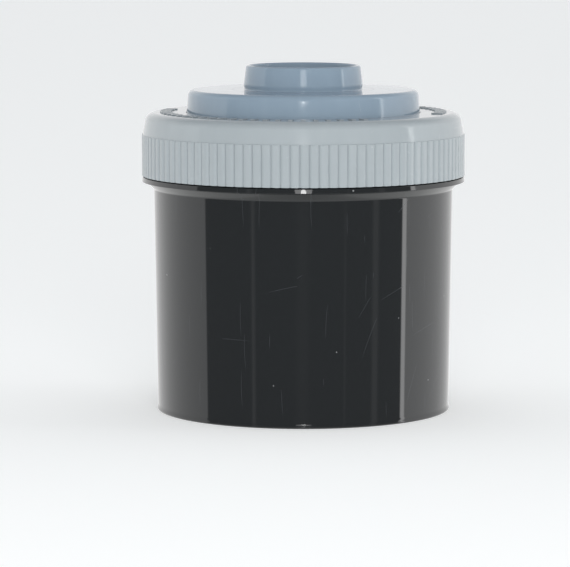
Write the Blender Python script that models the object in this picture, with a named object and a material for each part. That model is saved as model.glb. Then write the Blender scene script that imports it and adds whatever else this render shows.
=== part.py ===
"""A roll-film developing tank: a threaded black cup, a two-piece screw-down cover with a pouring
neck and a light trap, and the film apron and weight that stand inside. Metres, +Z up, with the
origin at the centre of the base."""

from math import cos, pi, radians, sin

import bmesh
import bpy
from mathutils import Matrix, Vector

MM = 0.001
GAP = 0.3 * MM  # between pieces that rest on one another

# Cover ring
RING_RADIUS = 50.8 * MM
RING_BOTTOM = 74.0 * MM
RING_TOP = 93.85 * MM
RIB_TOP = 87.0 * MM
RIB_COUNT = 108
RIB_DEPTH = 0.6 * MM
RIB_GROOVE = 0.7 * MM  # width of a groove at the ribs' faces
RIB_SHIFT = 0.65  # of a rib, from the front to the first groove
RIB_LEDGE = 0.3 * MM
RING_BORE = 47.6 * MM
RING_PLATE = 2.1 * MM
MARK_RADIUS = 43.2 * MM
MARK_SIZE = (3.6 * MM, 1.4 * MM, 0.35 * MM)  # radial, along the rim, standing out of the plate
MARK_STEP = 5  # degrees
MARK_REACH = 65  # degrees to either side of +X and of -X

# Tank
BASE_RADIUS = 46.0 * MM
BEAD = 0.25 * MM  # that the foot stands out from the wall
BEAD_HEIGHT = 0.7 * MM
BODY_TOP_RADIUS = 47.0 * MM
BODY_TOP = 69.8 * MM
FLANGE_BOTTOM = 72.5 * MM
FLANGE_TOP = 73.7 * MM
FLANGE_TOP_RADIUS = 50.6 * MM
FLANGE_UNDERSIDE = 1.5 * MM  # its width, out from the cone under it
NECK_RADIUS = 46.0 * MM
RIM_TOP = 87.5 * MM
WALL = 2.1 * MM
FLOOR = 3.0 * MM
FOOT_RECESS = 0.8 * MM

# Screw thread between the tank's neck and the ring
THREAD_LEAD = 5.0 * MM
THREAD_DEPTH = 1.2 * MM
THREAD_ROOT = 2.4 * MM
THREAD_CREST = 1.0 * MM
TANK_THREAD_START = 76.5 * MM
TANK_THREAD_TURNS = 1.6
RING_THREAD_START = 77.0 * MM
RING_THREAD_TURNS = 1.4
RING_THREAD_ANGLE = 216.0  # degrees; half a lead below the tank's ridge all the way

# Turret
TURRET_BASE_RADIUS = 36.7 * MM
TURRET_TOP_RADIUS = 36.15 * MM
TURRET_TOP = 100.9 * MM
TURRET_EDGE = 1.8 * MM
TURRET_WALL = 2.2 * MM
TURRET_FLANGE_RADIUS = 46.8 * MM
TURRET_FLANGE_THICK = 1.85 * MM
SKIRT_RADIUS = 27.0 * MM
SKIRT_WALL = 1.6 * MM
SKIRT_BOTTOM = 89.0 * MM

# Pouring neck
SPOUT_SEAT_RADIUS = 22.4 * MM
SPOUT_SEAT_DEPTH = 1.2 * MM
SPOUT_BASE_RADIUS = 17.8 * MM
SPOUT_FOOT_RADIUS = 18.4 * MM
SPOUT_WIDEST_RADIUS = 18.75 * MM
SPOUT_WIDEST = 102.5 * MM
SPOUT_RIM_RADIUS = 18.0 * MM
SPOUT_TOP = 108.5 * MM
SPOUT_BORE = 16.6 * MM
SPOUT_TUBE_BORE = 16.2 * MM
SPOUT_TUBE_BOTTOM = 94.0 * MM

# Light baffle
BAFFLE_RADIUS = 22.8 * MM
BAFFLE_CROWN = 92.9 * MM
BAFFLE_DROP = 1.6 * MM
BAFFLE_WALL = 1.6 * MM
LEG_RADIUS = 1.5 * MM
LEG_CIRCLE = 20.8 * MM
LEG_COUNT = 3

# Gasket
GASKET_INNER = 43.6 * MM
GASKET_OUTER = 46.4 * MM
GASKET_THICK = 1.5 * MM

# Film apron and weight
APRON_WIDTH = 72.0 * MM
APRON_THICK = 0.5 * MM
APRON_PITCH = 3.0 * MM
APRON_OUTER = 39.8 * MM
APRON_TURNS = 5
WEIGHT_RADIUS = 41.5 * MM
WEIGHT_THICK = 2.5 * MM
WEIGHT_HOLE = 13.0 * MM
PERFORATION_RADIUS = 4.5 * MM
PERFORATION_CIRCLE = 28.0 * MM
PERFORATION_COUNT = 6

# Facets
TURN_SIDES = 60
NECK_SIDES = 40
THREAD_SIDES = 45
HOLE_SIDES = 20
LEG_SIDES = 12
APRON_SIDES = 32
SMOOTH_ANGLE = radians(35)


def clear_scene():
    for obj in list(bpy.data.objects):
        bpy.data.objects.remove(obj)


def plastic(name, color, roughness, metallic=0.0):
    material = bpy.data.materials.new(name)
    material.use_nodes = True
    shader = material.node_tree.nodes["Principled BSDF"]
    shader.inputs["Base Color"].default_value = (*color, 1.0)
    shader.inputs["Roughness"].default_value = roughness
    shader.inputs["Metallic"].default_value = metallic
    return material


def finished(name, bm, material):
    """The named object of a closed bmesh, shaded smooth between its sharp edges."""
    bmesh.ops.remove_doubles(bm, verts=bm.verts, dist=0.001 * MM)
    bmesh.ops.recalc_face_normals(bm, faces=bm.faces)
    mesh = bpy.data.meshes.new(name)
    bm.to_mesh(mesh)
    bm.free()
    mesh.shade_smooth()
    mesh.set_sharp_from_angle(angle=SMOOTH_ANGLE)
    mesh.materials.append(material)
    obj = bpy.data.objects.new(name, mesh)
    bpy.context.scene.collection.objects.link(obj)
    return obj


def hidden_tool(obj):
    obj.hide_render = True
    obj.display_type = "WIRE"
    return obj


def combine(target, tool, operation):
    """Adds the tool's shape to the target, or cuts it away."""
    modifier = target.modifiers.new(tool.name, "BOOLEAN")
    modifier.operation = operation
    modifier.solver = "EXACT"
    modifier.object = hidden_tool(tool)


def arc(centre, radius, start, end, steps=4):
    """Points (radius, height) of an arc, its angles in degrees from the outward direction."""
    angles = (radians(start + (end - start) * i / steps) for i in range(steps + 1))
    return [(centre[0] + radius * cos(a), centre[1] + radius * sin(a)) for a in angles]


def turned(name, outline, sides, material, closed=True):
    """A solid turned about +Z. An outline that isn't closed starts and ends on the axis."""
    bm = bmesh.new()
    points = [bm.verts.new((radius, 0.0, height)) for radius, height in outline]
    pairs = list(zip(points, points[1:]))
    if closed:
        pairs.append((points[-1], points[0]))
    edges = [bm.edges.new(pair) for pair in pairs]
    bmesh.ops.spin(bm, geom=points + edges, axis=(0, 0, 1), cent=(0, 0, 0), angle=2 * pi, steps=sides)
    return finished(name, bm, material)


def swept(name, sections, material):
    """A solid through a row of four-cornered sections, capped at both ends."""
    bm = bmesh.new()
    rows = [[bm.verts.new(point) for point in section] for section in sections]
    for row, following in zip(rows, rows[1:]):
        for i in range(4):
            j = (i + 1) % 4
            bm.faces.new((row[i], row[j], following[j], following[i]))
    bm.faces.new(rows[0])
    bm.faces.new(rows[-1])
    return finished(name, bm, material)


def thread_ridge(name, wall, outward, start, turns, start_angle, material):
    """A helical ridge on a cylinder's wall, sunk into it and tapering away at both ends."""
    sunk = 0.5 * MM
    taper = 24.0  # degrees over which an end rises from below the wall to its full height
    start_depth = 0.15  # of the ridge's height, below the wall
    steps = round(turns * THREAD_SIDES)
    sections = []
    for i in range(steps + 1):
        angle = turns * 360.0 * i / steps
        to_end = min(angle, turns * 360.0 - angle)
        height = THREAD_DEPTH * min(1.0, (1 + start_depth) * to_end / taper - start_depth)
        crest = wall + outward * height
        root = wall - outward * sunk
        middle = start + THREAD_LEAD * angle / 360.0
        turn = radians(start_angle + angle)
        corners = (
            (root, middle - THREAD_ROOT / 2),
            (crest, middle - THREAD_CREST / 2),
            (crest, middle + THREAD_CREST / 2),
            (root, middle + THREAD_ROOT / 2),
        )
        sections.append([(r * cos(turn), r * sin(turn), z) for r, z in corners])
    return swept(name, sections, material)


def cylinders(name, radius, low, high, circle, count, sides, material):
    """A ring of upright cylinders in one mesh."""
    bm = bmesh.new()
    for i in range(count):
        turn = Matrix.Rotation(2 * pi * i / count, 4, "Z")
        place = turn @ Matrix.Translation((circle, 0, (low + high) / 2))
        bmesh.ops.create_cone(
            bm,
            cap_ends=True,
            segments=sides,
            radius1=radius,
            radius2=radius,
            depth=high - low,
            matrix=place,
        )
    return finished(name, bm, material)


def tank_body(material):
    foot_bend = 0.5 * MM
    foot = BASE_RADIUS + BEAD - foot_bend
    floor_bend = 2.0 * MM
    floor_radius = BASE_RADIUS - 2.7 * MM
    outline = [
        (0.0, FOOT_RECESS),
        (foot - 5.0 * MM, FOOT_RECESS),
        (foot - 4.2 * MM, 0.0),
        *arc((foot, foot_bend), foot_bend, -90, 0),
        (BASE_RADIUS + BEAD, BEAD_HEIGHT),
        (BASE_RADIUS, 2 * BEAD_HEIGHT),
        (BODY_TOP_RADIUS, BODY_TOP),
        (RING_RADIUS - FLANGE_UNDERSIDE, FLANGE_BOTTOM - 0.1 * MM),
        (RING_RADIUS, FLANGE_BOTTOM),
        (FLANGE_TOP_RADIUS, FLANGE_TOP),
        (NECK_RADIUS, FLANGE_TOP),
        (NECK_RADIUS, RIM_TOP - 0.5 * MM),
        (NECK_RADIUS - 0.5 * MM, RIM_TOP),
        (NECK_RADIUS - WALL, RIM_TOP),
        *arc((floor_radius - floor_bend, FLOOR + floor_bend), floor_bend, 0, -90),
        (0.0, FLOOR),
    ]
    body = turned("tank_body", outline, TURN_SIDES, material, closed=False)
    ridge = thread_ridge(
        "tank_thread", NECK_RADIUS, 1, TANK_THREAD_START, TANK_THREAD_TURNS, 0.0, material
    )
    combine(body, ridge, "UNION")
    return body


def rib_grooves(material):
    """The V-shaped grooves between the ribs, as one cutter. Its prisms stand out past the ribs by
    their own depth, so they are twice as wide there as the grooves they cut."""
    corners = (
        (RING_RADIUS - RIB_DEPTH, 0.0),
        (RING_RADIUS + RIB_DEPTH, -RIB_GROOVE),
        (RING_RADIUS + RIB_DEPTH, RIB_GROOVE),
    )
    bm = bmesh.new()
    for i in range(RIB_COUNT):
        turn = Matrix.Rotation(2 * pi * (i + RIB_SHIFT) / RIB_COUNT - pi / 2, 4, "Z")
        low = [bm.verts.new(turn @ Vector((x, y, RING_BOTTOM - MM))) for x, y in corners]
        high = [bm.verts.new(turn @ Vector((x, y, RIB_TOP))) for x, y in corners]
        bm.faces.new(low)
        bm.faces.new(high)
        for j in range(3):
            k = (j + 1) % 3
            bm.faces.new((low[j], low[k], high[k], high[j]))
    return finished("rib_grooves", bm, material)


def raised_marks(material):
    """Plain raised ticks in two arcs on the ring's top face, clear of its front and back."""
    radial, along, proud = MARK_SIZE
    place = Matrix.Translation((MARK_RADIUS, 0, RING_TOP))
    size = Matrix.Diagonal((radial, along, 2 * proud, 1))
    bm = bmesh.new()
    for side in (0, 180):
        for angle in range(side - MARK_REACH, side + MARK_REACH + 1, MARK_STEP):
            turn = Matrix.Rotation(radians(angle), 4, "Z")
            bmesh.ops.create_cube(bm, size=1, matrix=turn @ place @ size)
    return finished("raised_marks", bm, material)


def cover_ring(material):
    bore_edge = 0.5 * MM
    shoulder_foot = RING_RADIUS - RIB_LEDGE
    shoulder_bend = 1.9 * MM
    bend_centre = (RING_RADIUS - 3.1 * MM, RING_TOP - shoulder_bend)
    hole = TURRET_BASE_RADIUS + 0.4 * MM
    outline = [
        (RING_BORE + bore_edge, RING_BOTTOM),
        (RING_RADIUS, RING_BOTTOM),
        (RING_RADIUS, RIB_TOP),
        (shoulder_foot, RIB_TOP),
        *arc(bend_centre, shoulder_bend, 12, 90, 5),
        (hole, RING_TOP),
        (hole, RING_TOP - RING_PLATE),
        (RING_BORE, RING_TOP - RING_PLATE),
        (RING_BORE, RING_BOTTOM + bore_edge),
    ]
    ring = turned("cover_ring", outline, TURN_SIDES, material)
    ridge = thread_ridge(
        "ring_thread", RING_BORE, -1, RING_THREAD_START, RING_THREAD_TURNS, RING_THREAD_ANGLE, material
    )
    combine(ring, rib_grooves(material), "DIFFERENCE")
    combine(ring, ridge, "UNION")
    combine(ring, raised_marks(material), "UNION")
    return ring


def turret(material):
    flange_top = RING_TOP - RING_PLATE - GAP
    flange_bottom = flange_top - TURRET_FLANGE_THICK
    inner_top = TURRET_TOP - TURRET_WALL
    inner_radius = TURRET_TOP_RADIUS - TURRET_WALL
    hole = SPOUT_BASE_RADIUS + GAP
    edge_centre = (TURRET_TOP_RADIUS - TURRET_EDGE, TURRET_TOP - TURRET_EDGE)
    outline = [
        (hole, inner_top),
        (hole, TURRET_TOP - SPOUT_SEAT_DEPTH),
        (SPOUT_SEAT_RADIUS, TURRET_TOP - SPOUT_SEAT_DEPTH),
        (SPOUT_SEAT_RADIUS, TURRET_TOP),
        *reversed(arc(edge_centre, TURRET_EDGE, 4, 90)),
        (TURRET_BASE_RADIUS, RING_TOP),
        (TURRET_BASE_RADIUS, flange_top),
        (TURRET_FLANGE_RADIUS, flange_top),
        (TURRET_FLANGE_RADIUS, flange_bottom),
        (TURRET_BASE_RADIUS - TURRET_WALL, flange_bottom),
        (inner_radius, inner_top - MM),
        (inner_radius - MM, inner_top),
        (SKIRT_RADIUS + 0.3 * MM, inner_top),
        (SKIRT_RADIUS, SKIRT_BOTTOM),
        (SKIRT_RADIUS - SKIRT_WALL, SKIRT_BOTTOM),
        (SKIRT_RADIUS - SKIRT_WALL - 0.3 * MM, inner_top),
    ]
    return turned("turret", outline, TURN_SIDES, material)


def pour_neck(material):
    seat = SPOUT_SEAT_RADIUS - GAP
    seat_bottom = TURRET_TOP - SPOUT_SEAT_DEPTH + GAP
    lip = (SPOUT_RIM_RADIUS - SPOUT_BORE) / 2
    outline = [
        (SPOUT_TUBE_BORE, SPOUT_TUBE_BOTTOM),
        (SPOUT_BASE_RADIUS, SPOUT_TUBE_BOTTOM),
        (SPOUT_BASE_RADIUS, seat_bottom),
        (seat, seat_bottom),
        (seat, TURRET_TOP),
        (SPOUT_FOOT_RADIUS + 0.2 * MM, TURRET_TOP),
        (SPOUT_FOOT_RADIUS, TURRET_TOP + 0.3 * MM),
        (SPOUT_FOOT_RADIUS, TURRET_TOP + 0.8 * MM),
        (SPOUT_WIDEST_RADIUS, SPOUT_WIDEST),
        *arc((SPOUT_BORE + lip, SPOUT_TOP - lip), lip, 0, 180, 6),
        (SPOUT_TUBE_BORE, TURRET_TOP),
    ]
    return turned("pour_neck", outline, NECK_SIDES, material)


def light_baffle(material):
    """A low dome that sheds liquid at its edge, hung from the turret on three legs."""
    edge = BAFFLE_CROWN - BAFFLE_DROP
    outline = [
        (0.0, BAFFLE_CROWN - BAFFLE_WALL),
        (BAFFLE_RADIUS - 0.6 * MM, edge - BAFFLE_WALL),
        (BAFFLE_RADIUS, edge - BAFFLE_WALL + 0.6 * MM),
        (BAFFLE_RADIUS, edge - 0.4 * MM),
        (BAFFLE_RADIUS - 0.4 * MM, edge),
        (BAFFLE_RADIUS / 2, BAFFLE_CROWN - BAFFLE_DROP / 4),
        (0.0, BAFFLE_CROWN),
    ]
    plate = turned("light_baffle", outline, NECK_SIDES, material, closed=False)
    leg_top = TURRET_TOP - TURRET_WALL - GAP
    legs = cylinders(
        "baffle_legs", LEG_RADIUS, edge - MM, leg_top, LEG_CIRCLE, LEG_COUNT, LEG_SIDES, material
    )
    combine(plate, legs, "UNION")
    return plate


def rim_gasket(material):
    low = RIM_TOP + GAP
    high = low + GASKET_THICK
    outline = [(GASKET_INNER, low), (GASKET_OUTER, low), (GASKET_OUTER, high), (GASKET_INNER, high)]
    return turned("rim_gasket", outline, TURN_SIDES, material)


def film_apron(material):
    """The apron as a flat spiral strip standing on the tank's floor."""
    low = FLOOR + GAP
    high = low + APRON_WIDTH
    inner = APRON_OUTER - APRON_TURNS * APRON_PITCH
    sections = []
    for i in range(APRON_TURNS * APRON_SIDES + 1):
        angle = 2 * pi * i / APRON_SIDES
        radius = inner + APRON_PITCH * angle / (2 * pi)
        corners = (
            (radius - APRON_THICK, low),
            (radius, low),
            (radius, high),
            (radius - APRON_THICK, high),
        )
        sections.append([(r * cos(angle), r * sin(angle), z) for r, z in corners])
    return swept("film_apron", sections, material)


def weight_disc(material):
    low = FLOOR + GAP + APRON_WIDTH + GAP
    high = low + WEIGHT_THICK
    edge = 0.4 * MM
    outline = [
        (WEIGHT_HOLE, low),
        (WEIGHT_RADIUS - edge, low),
        (WEIGHT_RADIUS, low + edge),
        (WEIGHT_RADIUS, high - edge),
        (WEIGHT_RADIUS - edge, high),
        (WEIGHT_HOLE, high),
    ]
    disc = turned("weight_disc", outline, NECK_SIDES, material)
    holes = cylinders(
        "perforations",
        PERFORATION_RADIUS,
        low - MM,
        high + MM,
        PERFORATION_CIRCLE,
        PERFORATION_COUNT,
        HOLE_SIDES,
        material,
    )
    combine(disc, holes, "DIFFERENCE")
    return disc


clear_scene()
black = plastic("black_plastic", (0.012, 0.013, 0.014), 0.12)
light_grey = plastic("light_grey_plastic", (0.39, 0.44, 0.47), 0.3)
blue_grey = plastic("blue_grey_plastic", (0.24, 0.31, 0.37), 0.3)
clear_film = plastic("apron_film", (0.55, 0.52, 0.42), 0.25)
soft_rubber = plastic("black_rubber", (0.02, 0.02, 0.02), 0.8)
steel = plastic("stainless_steel", (0.62, 0.62, 0.61), 0.3, metallic=1.0)

tank_body(black)
cover_ring(light_grey)
turret(blue_grey)
pour_neck(blue_grey)
light_baffle(black)
rim_gasket(soft_rubber)
film_apron(clear_film)
weight_disc(steel)
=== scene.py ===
from math import atan2, cos, hypot, pi, radians, sin

import bmesh
import bpy
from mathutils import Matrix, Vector


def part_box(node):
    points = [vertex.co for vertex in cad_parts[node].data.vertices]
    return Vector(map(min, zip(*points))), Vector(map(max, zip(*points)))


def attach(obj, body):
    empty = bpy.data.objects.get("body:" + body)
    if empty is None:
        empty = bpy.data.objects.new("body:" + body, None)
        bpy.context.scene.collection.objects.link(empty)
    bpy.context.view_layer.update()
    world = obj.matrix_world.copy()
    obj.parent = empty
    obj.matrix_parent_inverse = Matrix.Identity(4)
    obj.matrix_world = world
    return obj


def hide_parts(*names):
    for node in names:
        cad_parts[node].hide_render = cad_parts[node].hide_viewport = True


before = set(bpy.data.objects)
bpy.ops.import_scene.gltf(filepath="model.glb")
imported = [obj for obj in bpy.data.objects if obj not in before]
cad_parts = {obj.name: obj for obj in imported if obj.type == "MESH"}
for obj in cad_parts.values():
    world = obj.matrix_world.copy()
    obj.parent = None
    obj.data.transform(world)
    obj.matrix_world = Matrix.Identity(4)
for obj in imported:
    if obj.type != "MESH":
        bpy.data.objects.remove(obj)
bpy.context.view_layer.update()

MM = 0.001

# ---------------------------------------------------------------------------------------------
# Tank body: the black cup that holds the developer. One piece, injection moulded in a polished
# mould, with a flange that the screw ring comes down to, a threaded neck above it, and a foot
# ring round a shallow recess underneath.

tank_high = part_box("tank_body")[1]
flange_radius = tank_high.x
rim_height = tank_high.z
base_radius = 46.0 * MM
bead_radius = base_radius + 0.25 * MM
body_top_radius = 47.0 * MM
body_top = 69.8 * MM
flange_bottom = 72.2 * MM
flange_top = 73.7 * MM
neck_radius = 46.0 * MM
wall = 2.1 * MM
floor_height = 3.0 * MM
floor_radius = base_radius - 2.7 * MM
thread_lead = 5.0 * MM


def draw_outline(name, outline):
    """Draws an outline of (radius, height, bend) points by extrusion, rounds the points that have
    a bend by that setback in millimetres, and leaves the new piece in edit mode."""
    bpy.ops.object.select_all(action="DESELECT")
    bpy.ops.mesh.primitive_plane_add(size=MM)
    piece = bpy.context.object
    piece.name = piece.data.name = name
    bpy.ops.object.mode_set(mode="EDIT")
    bpy.ops.mesh.select_all(action="SELECT")
    bpy.ops.mesh.merge(type="CENTER")
    bpy.ops.transform.translate(value=(outline[0][0], 0, outline[0][1]))
    for start, end in zip(outline, outline[1:]):
        step = (end[0] - start[0], 0, end[1] - start[1])
        bpy.ops.mesh.extrude_region_move(TRANSFORM_OT_translate={"value": step})
    bpy.ops.mesh.select_all(action="SELECT")
    bpy.ops.mesh.remove_doubles(threshold=0.01 * MM)
    for radius, height, bend in outline:
        if bend:
            select_points(piece, lambda co: hypot(co.x - radius, co.z - height) < 0.01 * MM)
            bpy.ops.mesh.bevel(offset=bend * MM, segments=5, affect="VERTICES")
    bpy.ops.mesh.select_all(action="SELECT")
    return piece


def close_mesh(threshold=0.002 * MM):
    """Merges the seams of the piece in edit mode, turns its faces outwards and leaves edit mode."""
    bpy.ops.mesh.select_all(action="SELECT")
    bpy.ops.mesh.remove_doubles(threshold=threshold)
    bpy.ops.mesh.normals_make_consistent(inside=False)
    bpy.ops.object.mode_set(mode="OBJECT")


def turn_piece(name, outline, sides=192):
    """Spins an outline about the tank's axis."""
    piece = draw_outline(name, outline)
    bpy.ops.mesh.spin(steps=sides, angle=2 * pi, center=(0, 0, 0), axis=(0, 0, 1))
    close_mesh()
    return piece


def select_points(piece, wanted):
    """Selects the points in edit mode whose place passes the test, and nothing else."""
    bpy.ops.mesh.select_all(action="DESELECT")
    mesh = bmesh.from_edit_mesh(piece.data)
    for point in mesh.verts:
        point.select_set(wanted(point.co))
    mesh.select_flush(True)
    bmesh.update_edit_mesh(piece.data)


def apply_modifier(piece, kind, **settings):
    """Adds one modifier, sets it, and applies it."""
    bpy.ops.object.select_all(action="DESELECT")
    bpy.context.view_layer.objects.active = piece
    piece.select_set(True)
    modifier = piece.modifiers.new(kind, kind)
    for setting, value in settings.items():
        setattr(modifier, setting, value)
    bpy.ops.object.modifier_apply(modifier=modifier.name)


def merge_shape(piece, other, operation="UNION"):
    """Joins another closed shape to the piece, or cuts it out, and removes that shape."""
    apply_modifier(piece, "BOOLEAN", operation=operation, solver="EXACT", object=other)
    bpy.data.objects.remove(other)


def even_shading(piece, crease=38):
    """Lets the large faces set the normals, so that walls stay straight up to their roundings."""
    bpy.ops.object.select_all(action="DESELECT")
    bpy.context.view_layer.objects.active = piece
    piece.select_set(True)
    bpy.ops.object.shade_smooth_by_angle(angle=radians(crease))
    apply_modifier(piece, "WEIGHTED_NORMAL", keep_sharp=True, weight=60)


def thread_ridge(name, root_radius, outward, start_height, start_angle, turns):
    """A helical ridge with a flat crest, sunk into its wall and running out at both ends. Outward
    is 1 for a ridge on the outside of a wall and -1 for one on the inside."""
    depth = outward * 1.2 * MM
    root = 1.2 * MM
    crest = 0.5 * MM
    sunk = outward * 0.5 * MM
    run_out = 14 * MM
    low = (root_radius - sunk, start_height - root, 0)
    ridge = draw_outline(name, [
        low,
        (root_radius + depth, start_height - crest, 0),
        (root_radius + depth, start_height + crest, 0),
        (root_radius - sunk, start_height + root, 0),
        low,
    ])
    bpy.ops.object.mode_set(mode="OBJECT")
    steps = round(turns * 120)
    apply_modifier(
        ridge, "SCREW", angle=2 * pi * turns, screw_offset=thread_lead * turns,
        steps=steps, render_steps=steps, use_merge_vertices=False,
    )
    bpy.ops.object.mode_set(mode="EDIT")
    bpy.ops.mesh.select_all(action="SELECT")
    bpy.ops.mesh.fill_holes(sides=4)
    for end_angle, end_height in ((0, start_height), (turns * 360, start_height + thread_lead * turns)):
        across = (cos(radians(end_angle)), sin(radians(end_angle)))
        centre = (root_radius * across[0], root_radius * across[1], end_height)
        select_points(ridge, lambda co: hypot(co.x - centre[0], co.y - centre[1]) < 1.5 * MM
                      and abs(co.z - end_height) < 1.6 * MM)
        bpy.ops.transform.translate(
            value=(-across[0] * depth * 1.2, -across[1] * depth * 1.2, 0),
            use_proportional_edit=True, use_proportional_connected=True,
            proportional_edit_falloff="SMOOTH", proportional_size=run_out,
        )
    close_mesh()
    ridge.rotation_euler.z = radians(start_angle)
    bpy.ops.object.transform_apply(rotation=True)
    return ridge


tank = turn_piece("black_tank", [
    (0, 1.1 * MM, 0),
    (2.0 * MM, 1.1 * MM, 0.2),
    (2.4 * MM, 0.8 * MM, 0.15),
    (bead_radius - 5.5 * MM, 0.8 * MM, 0.5),
    (bead_radius - 4.7 * MM, 0, 0.25),
    (bead_radius, 0, 0.5),
    (bead_radius, 0.7 * MM, 0.1),
    (base_radius, 1.4 * MM, 0.5),
    (body_top_radius, body_top, 0.25),
    (flange_radius - 1.5 * MM, flange_bottom - 0.1 * MM, 0.3),
    (flange_radius, flange_bottom, 0.15),
    (flange_radius - 0.2 * MM, flange_top, 0.15),
    (neck_radius, flange_top, 0.3),
    (neck_radius, rim_height, 0.6),
    (neck_radius - wall, rim_height, 0.4),
    (floor_radius, floor_height, 2.0),
    (0, floor_height, 0),
])
merge_shape(tank, thread_ridge("tank_ridge", neck_radius, 1, 76.5 * MM, 0, 1.6))
even_shading(tank)


def group(name, inputs, outputs):
    """A new shader group with number inputs and their defaults, and number outputs."""
    tree = bpy.data.node_groups.new(name, "ShaderNodeTree")
    for label, default in inputs.items():
        socket = tree.interface.new_socket(name=label, in_out="INPUT", socket_type="NodeSocketFloat")
        socket.default_value = default
    for label in outputs:
        tree.interface.new_socket(name=label, in_out="OUTPUT", socket_type="NodeSocketFloat")
    return tree, tree.nodes.new("NodeGroupInput"), tree.nodes.new("NodeGroupOutput")


def node(tree, kind, inputs=None, **settings):
    """A node with its settings, and each named or numbered input set to a value or linked."""
    made = tree.nodes.new("ShaderNode" + kind)
    for setting, value in settings.items():
        setattr(made, setting, value)
    for key, value in (inputs or {}).items():
        if isinstance(value, bpy.types.NodeSocket):
            tree.links.new(value, made.inputs[key])
        else:
            made.inputs[key].default_value = value
    return made


def maths(tree, operation, *values, clamp=False):
    """The output of a Math node."""
    return node(tree, "Math", dict(enumerate(values)), operation=operation, use_clamp=clamp).outputs[0]


def round_the_axis(tree):
    """A point's distance from the tank's axis, its bearing round it, and its height."""
    place = node(tree, "SeparateXYZ", {"Vector": node(tree, "TexCoord").outputs["Object"]})
    squares = [maths(tree, "MULTIPLY", place.outputs[i], place.outputs[i]) for i in (0, 1)]
    radius = maths(tree, "SQRT", maths(tree, "ADD", *squares))
    bearing = maths(tree, "ARCTAN2", place.outputs[1], place.outputs[0])
    return radius, bearing, place.outputs[2]


def scratches_group():
    """Fine scratches over the unrolled surface, at most one in each cell of a Voronoi pattern.
    Cell is in metres, Reach and Width are in cells, Angle and Spread in radians, and Share is the
    part of the cells that hold one."""
    tree, given, result = group("fine_scratches", {
        "Cell": 0.012, "Reach": 0.4, "Width": 0.015, "Angle": pi / 2, "Spread": 0.5, "Share": 0.5,
    }, ("Mask",))
    radius, bearing, height = round_the_axis(tree)
    along_rim = maths(tree, "MULTIPLY", bearing, base_radius)
    up_wall = maths(tree, "SUBTRACT", height, radius)
    point = node(tree, "CombineXYZ", {
        "X": maths(tree, "DIVIDE", along_rim, given.outputs["Cell"]),
        "Y": maths(tree, "DIVIDE", up_wall, given.outputs["Cell"]),
    })
    cells = node(tree, "TexVoronoi", {"Vector": point.outputs[0], "Scale": 1.0}, voronoi_dimensions="2D")
    luck = node(tree, "SeparateColor", {"Color": cells.outputs["Color"]})
    offset = node(
        tree, "VectorMath", {0: point.outputs[0], 1: cells.outputs["Position"]}, operation="SUBTRACT"
    )
    local = node(tree, "SeparateXYZ", {"Vector": offset.outputs[0]})
    lean = maths(tree, "MULTIPLY", maths(tree, "SUBTRACT", luck.outputs[0], 0.5), given.outputs["Spread"])
    turn = maths(tree, "ADD", lean, given.outputs["Angle"])
    way_x = maths(tree, "COSINE", turn)
    way_y = maths(tree, "SINE", turn)
    along = maths(
        tree, "ADD", maths(tree, "MULTIPLY", local.outputs[0], way_x),
        maths(tree, "MULTIPLY", local.outputs[1], way_y),
    )
    straight = maths(
        tree, "SUBTRACT", maths(tree, "MULTIPLY", local.outputs[1], way_x),
        maths(tree, "MULTIPLY", local.outputs[0], way_y),
    )
    bow = maths(tree, "MULTIPLY", maths(tree, "POWER", along, 2.0), 0.07)
    curved = maths(tree, "ADD", straight, bow)
    thin = node(tree, "MapRange", {
        "Value": maths(tree, "ABSOLUTE", curved), "From Min": 0.0, "From Max": given.outputs["Width"],
        "To Min": 1.0, "To Max": 0.0,
    })
    reach = maths(tree, "MULTIPLY", given.outputs["Reach"], maths(tree, "ADD", luck.outputs[1], 0.15))
    ends = node(tree, "MapRange", {
        "Value": maths(tree, "ABSOLUTE", along), "From Min": maths(tree, "MULTIPLY", reach, 0.4),
        "From Max": reach, "To Min": 1.0, "To Max": 0.0,
    }, interpolation_type="SMOOTHSTEP")
    held = maths(tree, "LESS_THAN", luck.outputs[2], given.outputs["Share"])
    mask = maths(tree, "MULTIPLY", maths(tree, "MULTIPLY", thin.outputs[0], ends.outputs[0]), held)
    tree.links.new(mask, result.inputs[0])
    return tree


def dust_group():
    """Specks of dust: a small dot in some cells of a Voronoi pattern. Spacing is the cell size in
    metres, Radius the largest dot in cells, and Share the part of the cells that hold one."""
    tree, given, result = group(
        "dust_specks", {"Spacing": 0.004, "Radius": 0.05, "Share": 0.3}, ("Mask",)
    )
    place = node(tree, "TexCoord").outputs["Object"]
    scale = maths(tree, "DIVIDE", 1.0, given.outputs["Spacing"])
    cells = node(tree, "TexVoronoi", {"Vector": place, "Scale": scale})
    luck = node(tree, "SeparateColor", {"Color": cells.outputs["Color"]})
    size = maths(tree, "MULTIPLY", given.outputs["Radius"], maths(tree, "ADD", luck.outputs[1], 0.25))
    dot = node(tree, "MapRange", {
        "Value": cells.outputs["Distance"], "From Min": maths(tree, "MULTIPLY", size, 0.6),
        "From Max": size, "To Min": 1.0, "To Max": 0.0,
    }, interpolation_type="SMOOTHSTEP")
    held = maths(tree, "LESS_THAN", luck.outputs[0], given.outputs["Share"])
    tree.links.new(maths(tree, "MULTIPLY", dot.outputs[0], held), result.inputs[0])
    return tree


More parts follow.
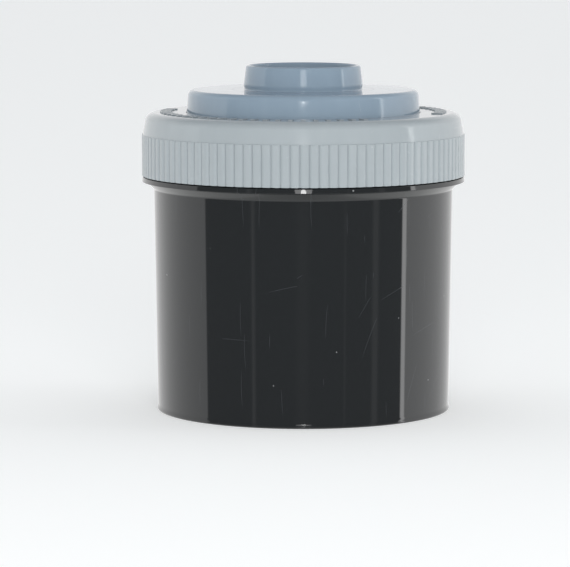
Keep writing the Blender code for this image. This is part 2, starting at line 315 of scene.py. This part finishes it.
def skin_group():
    """The skin of a moulding: slow waves of sink and flow for the Height, and a soft mottle that
    varies colour and gloss."""
    tree, given, result = group("moulded_skin", {"Wave": 40.0, "Mottle": 120.0}, ("Height", "Mottle"))
    place = node(tree, "TexCoord").outputs["Object"]
    wave = node(tree, "TexNoise", {"Vector": place, "Scale": given.outputs["Wave"], "Detail": 1.0})
    stretch = node(tree, "Mapping", {"Vector": place, "Scale": (1.0, 1.0, 0.35)})
    cloud = node(tree, "TexNoise", {
        "Vector": stretch.outputs[0], "Scale": given.outputs["Mottle"], "Detail": 4.0, "Roughness": 0.6,
    })
    tree.links.new(wave.outputs[0], result.inputs[0])
    tree.links.new(cloud.outputs[0], result.inputs[1])
    return tree


scratches = scratches_group()
dust = dust_group()
skin = skin_group()


def use(tree, shared, **values):
    """A shared effect placed in a material, with its own values."""
    made = tree.nodes.new("ShaderNodeGroup")
    made.node_tree = shared
    for label, value in values.items():
        made.inputs[label].default_value = value
    return made


def new_material(name, **constants):
    """A material whose Principled shader holds the constant values, and its node tree."""
    material = bpy.data.materials.new(name)
    material.use_nodes = True
    tree = material.node_tree
    shader = tree.nodes["Principled BSDF"]
    for label, value in constants.items():
        shader.inputs[label.replace("_", " ")].default_value = value
    return material, tree, shader


def mix_colours(tree, factor, first, second):
    """The colour between two, each a colour or a linked socket."""
    made = node(tree, "Mix", {"Factor": factor}, data_type="RGBA")
    for socket, value in ((made.inputs[6], first), (made.inputs[7], second)):
        if isinstance(value, bpy.types.NodeSocket):
            tree.links.new(value, socket)
        else:
            socket.default_value = (*value, 1)
    return made.outputs[2]


def black_plastic():
    """Polished black plastic with fine upright and slanting scratches and a few specks of dust."""
    material, tree, shader = new_material("polished_black_plastic", IOR=1.52)
    upright = use(tree, scratches, Cell=0.011, Reach=0.6, Width=0.009, Spread=0.12, Share=0.32)
    slanting = use(tree, scratches, Cell=0.016, Reach=0.5, Width=0.007, Angle=0.7, Spread=1.6, Share=0.22)
    specks = use(tree, dust, Spacing=0.0048, Radius=0.06, Share=0.3)
    surface = use(tree, skin, Wave=22.0, Mottle=90.0)
    lines = maths(tree, "MAXIMUM", upright.outputs[0], slanting.outputs[0])
    worn = mix_colours(tree, maths(tree, "MULTIPLY", lines, 0.5), (0.009, 0.011, 0.0125), (0.075, 0.08, 0.09))
    dusty = mix_colours(tree, maths(tree, "MULTIPLY", specks.outputs[0], 0.7), worn, (0.32, 0.33, 0.33))
    tree.links.new(dusty, shader.inputs["Base Color"])
    haze = maths(tree, "MULTIPLY", surface.outputs["Mottle"], 0.06)
    marred = maths(tree, "ADD", haze, maths(tree, "MULTIPLY", lines, 0.15))
    rough = maths(tree, "ADD", marred, maths(tree, "MULTIPLY", specks.outputs[0], 0.5), clamp=True)
    tree.links.new(rough, shader.inputs["Roughness"])
    bump = node(tree, "Bump", {"Height": surface.outputs["Height"], "Strength": 0.05, "Distance": 0.3 * MM})
    tree.links.new(bump.outputs[0], shader.inputs["Normal"])
    return material


polished_black = black_plastic()
tank.data.materials.append(polished_black)
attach(tank, "tank")
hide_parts("tank_body")

# ---------------------------------------------------------------------------------------------
# Screw ring: the light grey ring that holds the cover down. One moulding with 108 flat-faced
# ribs round its grip, plain raised ticks on its top face, and a thread inside.

ring_low, ring_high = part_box("cover_ring")
ring_radius = ring_high.x
ring_bottom = ring_low.z
mark_height = 0.35 * MM
ring_top = ring_high.z - mark_height
ring_bore = 47.6 * MM
ring_hole = 36.85 * MM
rib_count = 108
rib_top = 87.0 * MM
ring_plate = 2.1 * MM
rib_depth = 0.5 * MM
rib_steps = 8
rib_pitch = 2 * pi / rib_count

ring = draw_outline("screw_ring", [
    (ring_bore, ring_bottom, 0.4),
    (ring_radius, ring_bottom, 0.22),
    (ring_radius, rib_top, 0.12),
    (ring_radius - 0.3 * MM, rib_top, 0),
    (49.6 * MM, ring_top - 1.55 * MM, 0.9),
    (47.7 * MM, ring_top, 1.2),
    (ring_hole, ring_top, 0.2),
    (ring_hole, ring_top - ring_plate, 0.2),
    (ring_bore, ring_top - ring_plate, 0.4),
    (ring_bore, ring_bottom, 0),
])
bpy.ops.mesh.spin(steps=rib_steps, angle=rib_pitch, center=(0, 0, 0), axis=(0, 0, 1))
for station in range(rib_steps + 1):
    to_groove = min(station, rib_steps - station)
    sink = {0: rib_depth, 1: 0.18 * MM, 2: 0.03 * MM}.get(to_groove, 0)
    if sink:
        turn = station * rib_pitch / rib_steps
        select_points(ring, lambda co: co.z < rib_top + 0.01 * MM
                      and hypot(co.x, co.y) > ring_radius - 0.25 * MM
                      and abs(abs(atan2(co.y, co.x)) - turn) < 0.1 * rib_pitch / rib_steps)
        size = 1 - sink / ring_radius
        bpy.ops.transform.resize(value=(size, size, 1), center_override=(0, 0, 0))
bpy.ops.mesh.select_all(action="SELECT")
bpy.ops.mesh.spin(
    steps=rib_count - 1, angle=2 * pi - rib_pitch, center=(0, 0, 0), axis=(0, 0, 1), dupli=True
)
close_mesh()
ring.rotation_euler.z = 0.65 * rib_pitch
bpy.ops.object.transform_apply(rotation=True)

tick_length = 3.6 * MM
tick_width = 1.4 * MM
tick_circle = 43.2 * MM
tick_reach = radians(65)
tick_count = 27
bpy.ops.object.select_all(action="DESELECT")
bpy.ops.mesh.primitive_cube_add(size=1)
ticks = bpy.context.object
bpy.ops.object.mode_set(mode="EDIT")
bpy.ops.transform.resize(value=(tick_length, tick_width, 2 * mark_height))
bpy.ops.mesh.bevel(offset=0.12 * MM, segments=2)
bpy.ops.mesh.select_all(action="SELECT")
bpy.ops.transform.translate(value=(tick_circle, 0, ring_top))
bpy.ops.object.mode_set(mode="OBJECT")
ticks.rotation_euler.z = -tick_reach
bpy.ops.object.transform_apply(rotation=True)
bpy.ops.object.mode_set(mode="EDIT")
bpy.ops.mesh.select_all(action="SELECT")
bpy.ops.mesh.spin(
    steps=tick_count - 1, angle=2 * tick_reach, center=(0, 0, 0), axis=(0, 0, 1), dupli=True
)
bpy.ops.mesh.select_all(action="SELECT")
bpy.ops.mesh.spin(steps=1, angle=pi, center=(0, 0, 0), axis=(0, 0, 1), dupli=True)
close_mesh()
merge_shape(ring, ticks)
merge_shape(ring, thread_ridge("ring_ridge", ring_bore, -1, 77.0 * MM, 216, 1.4))
even_shading(ring, crease=32)


def grey_plastic(name, colour, shade, groove_radius=None):
    """Semi-gloss coloured plastic: a soft mottle in colour and gloss, faint scratches, dust, painted shade
    in the grip's grooves, down to the groove radius, and darkening on the raised ticks, most on their sides."""
    material, tree, shader = new_material(name, IOR=1.49)
    lines = use(tree, scratches, Cell=0.008, Width=0.012, Angle=0.9, Spread=3.0, Share=0.2).outputs[0]
    specks = use(tree, dust, Spacing=0.005, Radius=0.045, Share=0.2).outputs[0]
    surface = use(tree, skin, Wave=30.0, Mottle=160.0)
    mottled = mix_colours(tree, surface.outputs["Mottle"], shade, colour)
    worn = mix_colours(tree, maths(tree, "MULTIPLY", lines, 0.25), mottled, (0.6, 0.63, 0.65))
    dusty = mix_colours(tree, maths(tree, "MULTIPLY", specks, 0.3), worn, (0.75, 0.76, 0.75))
    if groove_radius:
        radius, _, height = round_the_axis(tree)
        # Painted shade: the grip's grooves are darkened, most at their bottoms, out to the groove radius.
        depth = node(tree, "MapRange", {
            "Value": radius, "From Min": groove_radius, "From Max": ring_radius - 0.22 * MM,
            "To Min": 1.0, "To Max": 0.0,
        })
        banded = maths(tree, "LESS_THAN", height, rib_top)
        in_grooves = maths(tree, "MULTIPLY", depth.outputs[0], banded)
        # The raised ticks are darkened: strongly low on their sides, and a little on their tops.
        on_ticks = maths(tree, "GREATER_THAN", height, ring_top + 0.03 * MM)
        tick_darkening = node(tree, "MapRange", {
            "Value": height, "From Min": ring_top + 0.2 * MM, "From Max": ring_top + 0.33 * MM,
            "To Min": 0.6, "To Max": 0.12,
        })
        painted_groove_shade = maths(tree, "MULTIPLY", in_grooves, 0.16)
        groove_shade_and_tick_darkening = maths(tree, "ADD", painted_groove_shade, maths(tree, "MULTIPLY", on_ticks, tick_darkening.outputs[0]))
        # The painted groove shade and the tick darkening both mix the colour towards a dark blue-grey.
        dusty = mix_colours(tree, groove_shade_and_tick_darkening, dusty, (0.14, 0.16, 0.18))
    tree.links.new(dusty, shader.inputs["Base Color"])
    haze = maths(tree, "MULTIPLY_ADD", surface.outputs["Mottle"], 0.09, 0.05)
    rough = maths(tree, "ADD", haze, maths(tree, "MULTIPLY", lines, 0.15), clamp=True)
    tree.links.new(rough, shader.inputs["Roughness"])
    bump = node(tree, "Bump", {"Height": surface.outputs["Height"], "Strength": 0.06, "Distance": 0.3 * MM})
    tree.links.new(bump.outputs[0], shader.inputs["Normal"])
    return material


ring.data.materials.append(grey_plastic(
    "light_grey_plastic", (0.385, 0.425, 0.445), (0.345, 0.385, 0.405), groove_radius=ring_radius - rib_depth
))
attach(ring, "screw_ring")
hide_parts("cover_ring")

# ---------------------------------------------------------------------------------------------
# Turret: the stepped blue-grey cover that the ring clamps by its flange. Its step makes room
# for the light trap, whose skirt hangs from the step's underside. One moulding.

turret_low, turret_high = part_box("turret")
turret_top = turret_high.z
turret_flange = turret_high.x
turret_radius = 36.7 * MM
turret_wall = 2.2 * MM
spout_seat = 22.15 * MM
seat_line = 0.05 * MM
spout_radius = 17.8 * MM
fit_gap = 0.3 * MM
turret_flange_top = ring_top - ring_plate - fit_gap
turret_flange_bottom = turret_flange_top - 1.85 * MM
skirt_bottom = turret_low.z

turret = turn_piece("turret_cover", [
    (spout_radius + fit_gap, turret_top - turret_wall, 0.1),
    (spout_radius + fit_gap, turret_top - 1.2 * MM, 0),
    (spout_seat, turret_top - 1.2 * MM, 0),
    (spout_seat, turret_top, 0.05),
    (36.15 * MM, turret_top, 1.7),
    (turret_radius, ring_top, 0),
    (turret_radius, turret_flange_top, 0.2),
    (turret_flange, turret_flange_top, 0.3),
    (turret_flange, turret_flange_bottom, 0.3),
    (turret_radius - turret_wall, turret_flange_bottom, 0.3),
    (36.15 * MM - turret_wall, turret_top - turret_wall, 1.2),
    (27.3 * MM, turret_top - turret_wall, 0.4),
    (27.0 * MM, skirt_bottom, 0.4),
    (25.4 * MM, skirt_bottom, 0.4),
    (25.1 * MM, turret_top - turret_wall, 0.4),
    (spout_radius + fit_gap, turret_top - turret_wall, 0),
])
even_shading(turret)
blue_grey = grey_plastic("blue_grey_plastic", (0.27, 0.35, 0.425), (0.24, 0.315, 0.39))
turret.data.materials.append(blue_grey)
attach(turret, "lid")
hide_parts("turret")

# ---------------------------------------------------------------------------------------------
# Pouring neck: the spout that liquid goes in and out by. A separate moulding of the same
# plastic, because of the slight undercut at its foot, cemented into the seat in the turret.

neck_low, neck_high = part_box("pour_neck")
neck_top = neck_high.z
neck_bore = 16.6 * MM
tube_bore = 16.2 * MM

neck = turn_piece("pouring_neck", [
    (tube_bore, neck_low.z, 0.3),
    (spout_radius, neck_low.z, 0.3),
    (spout_radius, turret_top - 0.9 * MM, 0.2),
    (spout_seat - seat_line, turret_top - 0.9 * MM, 0.05),
    (spout_seat - seat_line, turret_top, 0.05),
    (18.55 * MM, turret_top, 0.25),
    (18.5 * MM, turret_top + 0.6 * MM, 0.4),
    (18.75 * MM, turret_top + 1.5 * MM, 0.5),
    (18.0 * MM, neck_top, 0.65),
    (neck_bore, neck_top, 0.65),
    (tube_bore, turret_top, 0.5),
    (tube_bore, neck_low.z, 0),
])
even_shading(neck)
neck.data.materials.append(blue_grey)
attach(neck, "lid")
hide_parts("pour_neck")

# ---------------------------------------------------------------------------------------------
# Light baffle: the black domed plate under the pouring tube. Liquid runs off its edge and light
# is stopped by it. One moulding with three legs, cemented to the turret's underside.

baffle_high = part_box("light_baffle")[1]
baffle_radius = 22.8 * MM
baffle_crown = 92.9 * MM
baffle_edge = 91.3 * MM
baffle_wall = 1.6 * MM

baffle = turn_piece("light_trap_baffle", [
    (0, baffle_crown - baffle_wall, 0),
    (baffle_radius, baffle_edge - baffle_wall, 0.5),
    (baffle_radius, baffle_edge, 0.4),
    (baffle_radius / 2, baffle_crown - 0.4 * MM, 3.0),
    (0, baffle_crown, 0),
], sides=96)
leg_radius = 1.5 * MM
leg_circle = 20.8 * MM
leg_low = baffle_edge - 0.8 * MM
leg_length = baffle_high.z - leg_low
bpy.ops.object.select_all(action="DESELECT")
bpy.ops.mesh.primitive_cylinder_add(
    vertices=32, radius=leg_radius, depth=leg_length, location=(leg_circle, 0, leg_low + leg_length / 2)
)
legs = bpy.context.object
bpy.ops.object.transform_apply(location=True)
bpy.ops.object.mode_set(mode="EDIT")
select_points(legs, lambda co: co.z > baffle_high.z - 0.1 * MM)
bpy.ops.mesh.bevel(offset=0.25 * MM, segments=3)
bpy.ops.mesh.select_all(action="SELECT")
bpy.ops.mesh.spin(steps=2, angle=4 * pi / 3, center=(0, 0, 0), axis=(0, 0, 1), dupli=True)
close_mesh()
merge_shape(baffle, legs)
even_shading(baffle)
baffle.data.materials.append(polished_black)
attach(baffle, "lid")
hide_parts("light_baffle")

# ---------------------------------------------------------------------------------------------
# Rim gasket: the flat washer that the ring squeezes between the turret's flange and the tank's
# rim. Cut from black sheet rubber.

gasket_low, gasket_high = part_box("rim_gasket")
gasket_radius = gasket_high.x
gasket_inner = 43.6 * MM

gasket = turn_piece("rim_washer", [
    (gasket_inner, gasket_low.z, 0.2),
    (gasket_radius, gasket_low.z, 0.2),
    (gasket_radius, gasket_high.z, 0.2),
    (gasket_inner, gasket_high.z, 0.2),
    (gasket_inner, gasket_low.z, 0),
])
even_shading(gasket)


def sheet_rubber():
    """Dull black rubber with a fine grain."""
    material, tree, shader = new_material("black_sheet_rubber", IOR=1.5)
    place = node(tree, "TexCoord").outputs["Object"]
    grain = node(tree, "TexNoise", {"Vector": place, "Scale": 3500.0, "Detail": 3.0})
    patches = node(tree, "TexNoise", {"Vector": place, "Scale": 140.0, "Detail": 2.0})
    colour = mix_colours(tree, patches.outputs[0], (0.012, 0.012, 0.012), (0.035, 0.035, 0.034))
    tree.links.new(colour, shader.inputs["Base Color"])
    rough = maths(tree, "MULTIPLY_ADD", patches.outputs[0], 0.25, 0.6)
    tree.links.new(rough, shader.inputs["Roughness"])
    bump = node(tree, "Bump", {"Height": grain.outputs[0], "Strength": 0.35, "Distance": 0.08 * MM})
    tree.links.new(bump.outputs[0], shader.inputs["Normal"])
    return material


gasket.data.materials.append(sheet_rubber())
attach(gasket, "lid")
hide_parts("rim_gasket")

# ---------------------------------------------------------------------------------------------
# Film apron: the long strip that the film is rolled up in. Clear flexible sheet, crimped along
# both edges, so that its turns stand off one another and the developer reaches the film.

apron_low, apron_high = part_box("film_apron")
apron_width = apron_high.z - apron_low.z
apron_pitch = 3.0 * MM
apron_turns = 5
apron_outer = 39.8 * MM
apron_sheet = 0.25 * MM
crimp_length = 6.0 * MM
crimp_columns = 8
crimp_height = 1.1 * MM
crimp_band = 4.5 * MM

bpy.ops.object.select_all(action="DESELECT")
bpy.ops.mesh.primitive_grid_add(x_subdivisions=crimp_columns, y_subdivisions=1, size=1)
apron = bpy.context.object
apron.name = apron.data.name = "crimped_apron"
bpy.ops.object.mode_set(mode="EDIT")
bpy.ops.mesh.select_all(action="SELECT")
bpy.ops.transform.resize(value=(crimp_length, apron_width, 1))
bpy.ops.transform.translate(value=(crimp_length / 2, 0, 0))
for cut in (0.5, 0.5 - crimp_band / apron_width, 0.5 - 1.7 * crimp_band / apron_width):
    for side in (-1, 1):
        bpy.ops.mesh.select_all(action="SELECT")
        bpy.ops.mesh.bisect(
            plane_co=(0, side * (cut * apron_width - 0.8 * MM), 0), plane_no=(0, 1, 0)
        )
for column in range(crimp_columns + 1):
    lift = crimp_height * sin(2 * pi * column / crimp_columns)
    for depth, share in ((0, 1.0), (crimp_band, 1.0), (1.7 * crimp_band, 0.3)):
        line = apron_width / 2 - depth
        select_points(apron, lambda co: abs(co.x - column * crimp_length / crimp_columns) < 0.1 * MM
                      and line - 2.2 * MM < abs(co.y) < line + 0.5 * MM)
        bpy.ops.transform.translate(value=(0, 0, lift * share))
bpy.ops.mesh.select_all(action="DESELECT")
bpy.ops.object.mode_set(mode="OBJECT")
apron.rotation_euler.x = pi / 2
apron.location.z = (apron_low.z + apron_high.z) / 2
bpy.ops.object.transform_apply(location=True, rotation=True)

coil_end = apron_outer - apron_sheet - crimp_height
coil_start = coil_end - apron_turns * apron_pitch
coil_points = apron_turns * 60
coil = bpy.data.curves.new("apron_coil", "CURVE")
coil.dimensions = "3D"
path = coil.splines.new("POLY")
path.points.add(coil_points)
for i in range(coil_points + 1):
    turn = 2 * pi * apron_turns * i / coil_points
    radius = coil_start + apron_pitch * turn / (2 * pi)
    path.points[i].co = (radius * cos(turn), radius * sin(turn), 0, 1)
guide = bpy.data.objects.new("apron_guide", coil)
bpy.context.scene.collection.objects.link(guide)
length = pi * apron_turns * (coil_start + coil_end)
apply_modifier(
    apron, "ARRAY", count=int(length / crimp_length), use_merge_vertices=True, merge_threshold=0.02 * MM
)
apply_modifier(apron, "CURVE", object=guide, deform_axis="POS_X")
bpy.data.objects.remove(guide)
apply_modifier(apron, "SOLIDIFY", thickness=apron_sheet, offset=0)
bpy.ops.object.shade_smooth_by_angle(angle=radians(60))


def apron_plastic():
    """Clear sheet that has yellowed a little, hazy from use."""
    material, tree, shader = new_material("clear_apron_sheet", IOR=1.49, Alpha=0.55)
    surface = use(tree, skin, Wave=25.0, Mottle=60.0)
    colour = mix_colours(tree, surface.outputs["Mottle"], (0.62, 0.56, 0.40), (0.74, 0.70, 0.56))
    tree.links.new(colour, shader.inputs["Base Color"])
    rough = maths(tree, "MULTIPLY_ADD", surface.outputs["Mottle"], 0.2, 0.15)
    tree.links.new(rough, shader.inputs["Roughness"])
    return material


apron.data.materials.append(apron_plastic())
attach(apron, "apron")
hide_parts("film_apron")

# ---------------------------------------------------------------------------------------------
# Weight: the pierced disc that keeps the apron and film under the developer. Stamped from
# stainless steel and faced on a lathe, with a finger hole in the middle and a rounded edge.

weight_low, weight_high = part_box("weight_disc")
weight_radius = weight_high.x
finger_hole = 13.0 * MM
punch_radius = 4.5 * MM
punch_circle = 28.0 * MM
punch_length = 8 * MM
punch_count = 6

weight = turn_piece("steel_weight", [
    (finger_hole, weight_low.z, 0.3),
    (weight_radius, weight_low.z, 0.5),
    (weight_radius, weight_high.z, 0.7),
    (finger_hole, weight_high.z, 0.5),
    (finger_hole, weight_low.z, 0),
])
bpy.ops.object.select_all(action="DESELECT")
bpy.ops.mesh.primitive_cylinder_add(
    vertices=48, radius=punch_radius, depth=punch_length, location=(punch_circle, 0, weight_low.z)
)
punches = bpy.context.object
bpy.ops.object.transform_apply(location=True)
bpy.ops.object.mode_set(mode="EDIT")
bpy.ops.mesh.select_all(action="SELECT")
bpy.ops.mesh.spin(
    steps=punch_count - 1, angle=2 * pi * (punch_count - 1) / punch_count,
    center=(0, 0, 0), axis=(0, 0, 1), dupli=True,
)
close_mesh()
merge_shape(weight, punches, "DIFFERENCE")
even_shading(weight)


def turned_steel():
    """Stainless steel with fine rings from turning, and water marks."""
    material, tree, shader = new_material("brushed_stainless_steel", Metallic=1.0)
    radius = round_the_axis(tree)[0]
    ring_place = node(tree, "CombineXYZ", {"X": radius})
    rings = node(tree, "TexNoise", {"Vector": ring_place.outputs[0], "Scale": 5200.0, "Detail": 2.0})
    marks = use(tree, skin, Wave=60.0, Mottle=110.0)
    colour = mix_colours(tree, marks.outputs["Mottle"], (0.52, 0.52, 0.51), (0.66, 0.66, 0.65))
    tree.links.new(colour, shader.inputs["Base Color"])
    rough = maths(tree, "MULTIPLY_ADD", rings.outputs[0], 0.2, 0.18)
    tree.links.new(rough, shader.inputs["Roughness"])
    bump = node(tree, "Bump", {"Height": rings.outputs[0], "Strength": 0.25, "Distance": 0.03 * MM})
    tree.links.new(bump.outputs[0], shader.inputs["Normal"])
    return material


weight.data.materials.append(turned_steel())
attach(weight, "weight")
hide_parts("weight_disc")

# ---------------------------------------------------------------------------------------------
# Studio: a pale floor out to the horizon that glows a little, and a pale surround that is dim on
# the camera's side. Above the camera are a small lamp and a soft one, for the highlights, and
# lower down a broad fill that leaves none.

camera_distance = 1.1
camera_height = 0.164
camera_pitch = 6.46

camera_data = bpy.data.cameras.new("camera")
camera_data.sensor_width = 36
camera_data.lens = 221.1
camera_data.shift_x = -0.032
camera_data.clip_end = 100
camera = bpy.data.objects.new("camera", camera_data)
camera.location = (0, -camera_distance, camera_height)
camera.rotation_euler = (radians(90 - camera_pitch), 0, 0)
bpy.context.scene.collection.objects.link(camera)
bpy.context.scene.camera = camera

bpy.ops.object.select_all(action="DESELECT")
bpy.ops.mesh.primitive_plane_add(size=60)
floor = bpy.context.object
floor.name = "studio_floor"
floor.visible_glossy = False
floor_material, _, floor_shader = new_material("pale_floor", Roughness=1.0)
floor_shader.inputs["Base Color"].default_value = (0.90, 0.91, 0.905, 1)
floor_shader.inputs["Specular IOR Level"].default_value = 0
floor_shader.inputs["Emission Color"].default_value = (1.0, 1.0, 0.985, 1)
floor_shader.inputs["Emission Strength"].default_value = 0.34
floor.data.materials.append(floor_material)


def lamp(name, place, width, height, power):
    """An area lamp at a place, turned towards the middle of the tank."""
    data = bpy.data.lights.new(name, "AREA")
    data.shape = "ELLIPSE"
    data.size = width
    data.size_y = height
    data.energy = power
    made = bpy.data.objects.new(name, data)
    made.location = place
    direction = Vector((0, 0, 0.07)) - made.location
    made.rotation_euler = direction.to_track_quat("-Z", "Y").to_euler()
    bpy.context.scene.collection.objects.link(made)
    return made


lamp_side = 0.004
lamp("camera_lamp", (lamp_side, -camera_distance, camera_height + 0.09), 0.07, 0.05, 0.12)
lamp("soft_lamp", (lamp_side, -camera_distance, camera_height + 0.125), 0.24, 0.17, 0.34)
front_fill = lamp("front_fill", (0.1, -1.6, 0.32), 0.8, 0.8, 15.0)
front_fill.visible_glossy = False

world = bpy.data.worlds.new("studio_surround")
bpy.context.scene.world = world
world.use_nodes = True
sky = world.node_tree
place = node(sky, "SeparateXYZ", {"Vector": node(sky, "TexCoord").outputs["Generated"]})
bearing = maths(sky, "ARCTAN2", place.outputs[0], maths(sky, "MULTIPLY", place.outputs[1], -1.0))
along = node(sky, "MapRange", {"Value": bearing, "From Min": -pi, "From Max": pi})
surround = node(sky, "ValToRGB", {"Fac": along.outputs[0]})
wall_light = 1.25
room_light = 0.31
# Each stop is a bearing in degrees, 0 being the camera's, and the brightness of the surround there.
stops = [
    (-180, 1.0), (-140, wall_light), (-81.5, wall_light), (-80.5, room_light), (-41, room_light),
    (-39.5, 0.6), (-38.5, 0.6), (-37, room_light), (-7, room_light), (-3, 0.37), (2, 0.37), (6, room_light),
    (31, room_light), (32, 0.5), (33, room_light), (54, room_light), (56, 0.55), (59, 0.55), (61, room_light),
    (81.6, room_light), (82.2, 4.0), (86, 4.0), (87, 1.6), (130, 1.2), (180, 1.0),
]
ramp = surround.color_ramp.elements
while len(ramp) < len(stops):
    ramp.new(1.0)
for element, (angle, light) in zip(ramp, stops):
    element.position = (angle + 180) / 360
    element.color = (light, light, light, 1)
overhead = node(sky, "MapRange", {
    "Value": place.outputs[2], "From Min": 0.35, "From Max": 0.8,
}, interpolation_type="SMOOTHSTEP")
underneath = node(sky, "MapRange", {
    "Value": place.outputs[2], "From Min": -0.3, "From Max": -0.5,
}, interpolation_type="SMOOTHSTEP")
roof_light = (0.36, 0.38, 0.41)
floor_bounce = (1.15, 1.16, 1.15)
roofed = mix_colours(sky, overhead.outputs[0], surround.outputs[0], roof_light)
light = mix_colours(sky, underneath.outputs[0], roofed, floor_bounce)
sky.links.new(light, sky.nodes["Background"].inputs["Color"])

bpy.context.scene.view_settings.view_transform = "Standard"
